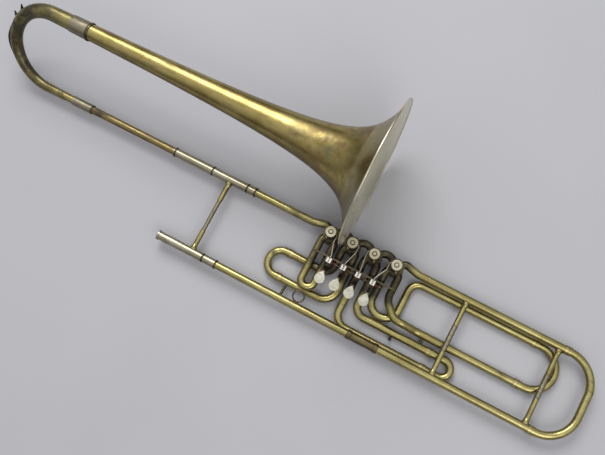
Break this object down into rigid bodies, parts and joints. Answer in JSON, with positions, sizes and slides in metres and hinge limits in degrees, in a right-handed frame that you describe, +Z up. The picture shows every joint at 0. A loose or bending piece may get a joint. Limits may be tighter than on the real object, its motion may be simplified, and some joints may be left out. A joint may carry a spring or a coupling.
{
  "type": "rotary valve trombone",
  "caption": "Long looped brass wind instrument with a flared bell, a row of rotary valves worked by levers and links, and pull-out tuning slides.",
  "frame": {"origin": "centre of the footprint, on the surface that the instrument lies on", "axes": "+X along the tubes from the bell bow towards the bell mouth and the tuning slide, +Y from the mouthpipe towards the bell, +Z up"},
  "size_m": [1.1034, 0.3596, 0.244],
  "materials": {
    "aged_brass": "worn lacquer, olive tarnish",
    "bell_brass": "worn lacquer with brown-green patina patches",
    "dark_brass": "heavy dark patina",
    "nickel_silver": "worn satin with yellowish tarnish",
    "dark_fitting": "dark oxidised metal",
    "steel_wire": "bright wire",
    "spring_wire": "reddish oxidised wire",
    "pearl_touch": "pearly",
    "cork": "matt cork"
  },
  "bodies": {
    "instrument": {"bell": "bell_brass", "bell_garland": "nickel_silver", "bell_rim": "nickel_silver", "bell_bow": "dark_brass", "bow_guard": "dark_fitting", "bell_ferrule": "nickel_silver", "branch_ferrule": "nickel_silver", "bell_branch": "aged_brass", "joint_sleeve": "nickel_silver", "valve_branch": "aged_brass", "upper_slide_tube": "aged_brass", "valve_knuckles": "aged_brass", "valve_casings": "aged_brass", "bearing_plates": "nickel_silver", "bottom_caps": "nickel_silver", "cork_stops": "cork", "return_springs": "spring_wire", "hinge_rod": "steel_wire", "lever_saddle": "nickel_silver", "semitone_loop": "aged_brass", "tone_loop_legs": "aged_brass", "third_loop_legs": "aged_brass", "fourth_loop_legs": "aged_brass", "slide_ferrules": "nickel_silver", "mouthpipe": "aged_brass", "lower_slide_tube": "aged_brass", "mouthpiece_receiver": "nickel_silver", "leadpipe_sleeve": "nickel_silver", "collar_rings": "nickel_silver", "mouthpipe_coupling": "dark_brass", "brace_sockets": "aged_brass", "brace_rods": "nickel_silver", "finger_ring": "nickel_silver", "loop_braces": "dark_brass", "pull_knob": "dark_fitting"},
    "tuning_slide": {"tuning_slide": "aged_brass"},
    "tone_slide": {"tone_slide": "aged_brass"},
    "third_slide": {"third_slide": "aged_brass"},
    "fourth_slide": {"fourth_slide": "aged_brass"},
    "valve_1": {"rotor_1": "aged_brass", "spindle_cap_1": "nickel_silver"},
    "lever_1": {"lever_1": "nickel_silver", "touchpiece_1": "pearl_touch"},
    "link_1": {"s_link_1": "steel_wire"},
    "valve_2": {"rotor_2": "aged_brass", "spindle_cap_2": "nickel_silver"},
    "lever_2": {"lever_2": "nickel_silver", "touchpiece_2": "pearl_touch"},
    "link_2": {"s_link_2": "steel_wire"},
    "valve_3": {"rotor_3": "aged_brass", "spindle_cap_3": "nickel_silver"},
    "lever_3": {"lever_3": "nickel_silver", "touchpiece_3": "pearl_touch"},
    "link_3": {"s_link_3": "steel_wire"},
    "valve_4": {"rotor_4": "aged_brass", "spindle_cap_4": "nickel_silver"},
    "lever_4": {"lever_4": "nickel_silver", "touchpiece_4": "pearl_touch"},
    "link_4": {"s_link_4": "steel_wire"}
  },
  "joints": [
    {"name": "lever_1_press", "type": "hinge", "parent": "instrument", "child": "lever_1", "pos_m": [0.09913, -0.08398, 0.0315], "axis": [1, 0, 0], "range_deg": [0, 24], "stiffness_Nm_per_rad": 0.06, "springref_deg": -28.65},
    {"name": "valve_1_turn", "type": "hinge", "parent": "instrument", "child": "valve_1", "pos_m": [0.08173, -0.04298, 0.0212], "axis": [0, 0, 1], "range_deg": [-90, 0]},
    {"name": "link_1_swing", "type": "hinge", "parent": "lever_1", "child": "link_1", "pos_m": [0.09913, -0.08398, 0.0456], "axis": [1, 0, 0], "range_deg": [-24, 0]},
    {"name": "lever_2_press", "type": "hinge", "parent": "instrument", "child": "lever_2", "pos_m": [0.12473, -0.08398, 0.0315], "axis": [1, 0, 0], "range_deg": [0, 24], "stiffness_Nm_per_rad": 0.06, "springref_deg": -28.65},
    {"name": "valve_2_turn", "type": "hinge", "parent": "instrument", "child": "valve_2", "pos_m": [0.12023, -0.04298, 0.0212], "axis": [0, 0, 1], "range_deg": [-90, 0]},
    {"name": "link_2_swing", "type": "hinge", "parent": "lever_2", "child": "link_2", "pos_m": [0.12473, -0.08398, 0.0456], "axis": [1, 0, 0], "range_deg": [-24, 0]},
    {"name": "lever_3_press", "type": "hinge", "parent": "instrument", "child": "lever_3", "pos_m": [0.15033, -0.08398, 0.0315], "axis": [1, 0, 0], "range_deg": [0, 24], "stiffness_Nm_per_rad": 0.06, "springref_deg": -28.65},
    {"name": "valve_3_turn", "type": "hinge", "parent": "instrument", "child": "valve_3", "pos_m": [0.15873, -0.04298, 0.0212], "axis": [0, 0, 1], "range_deg": [0, 90]},
    {"name": "link_3_swing", "type": "hinge", "parent": "lever_3", "child": "link_3", "pos_m": [0.15033, -0.08398, 0.0456], "axis": [1, 0, 0], "range_deg": [-24, 0]},
    {"name": "lever_4_press", "type": "hinge", "parent": "instrument", "child": "lever_4", "pos_m": [0.17593, -0.08398, 0.0315], "axis": [1, 0, 0], "range_deg": [0, 24], "stiffness_Nm_per_rad": 0.06, "springref_deg": -28.65},
    {"name": "valve_4_turn", "type": "hinge", "parent": "instrument", "child": "valve_4", "pos_m": [0.19723, -0.04298, 0.0212], "axis": [0, 0, 1], "range_deg": [0, 90]},
    {"name": "link_4_swing", "type": "hinge", "parent": "lever_4", "child": "link_4", "pos_m": [0.17593, -0.08398, 0.0456], "axis": [1, 0, 0], "range_deg": [-24, 0]},
    {"name": "tuning_slide_pull", "type": "slide", "parent": "instrument", "child": "tuning_slide", "axis": [1, 0, 0], "range_m": [0, 0.05]},
    {"name": "tone_slide_pull", "type": "slide", "parent": "instrument", "child": "tone_slide", "axis": [-1, 0, 0], "range_m": [0, 0.025]},
    {"name": "third_slide_pull", "type": "slide", "parent": "instrument", "child": "third_slide", "axis": [1, 0, 0], "range_m": [0, 0.04]},
    {"name": "fourth_slide_pull", "type": "slide", "parent": "instrument", "child": "fourth_slide", "axis": [1, 0, 0], "range_m": [0, 0.03]}
  ],
  "couplings": [
    {"joint": "valve_1_turn", "follows": "lever_1_press", "ratio": -3.75},
    {"joint": "link_1_swing", "follows": "lever_1_press", "ratio": -0.93333},
    {"joint": "valve_2_turn", "follows": "lever_2_press", "ratio": -3.75},
    {"joint": "link_2_swing", "follows": "lever_2_press", "ratio": -0.93333},
    {"joint": "valve_3_turn", "follows": "lever_3_press", "ratio": 3.75},
    {"joint": "link_3_swing", "follows": "lever_3_press", "ratio": -0.93333},
    {"joint": "valve_4_turn", "follows": "lever_4_press", "ratio": 3.75},
    {"joint": "link_4_swing", "follows": "lever_4_press", "ratio": -0.93333}
  ]
}
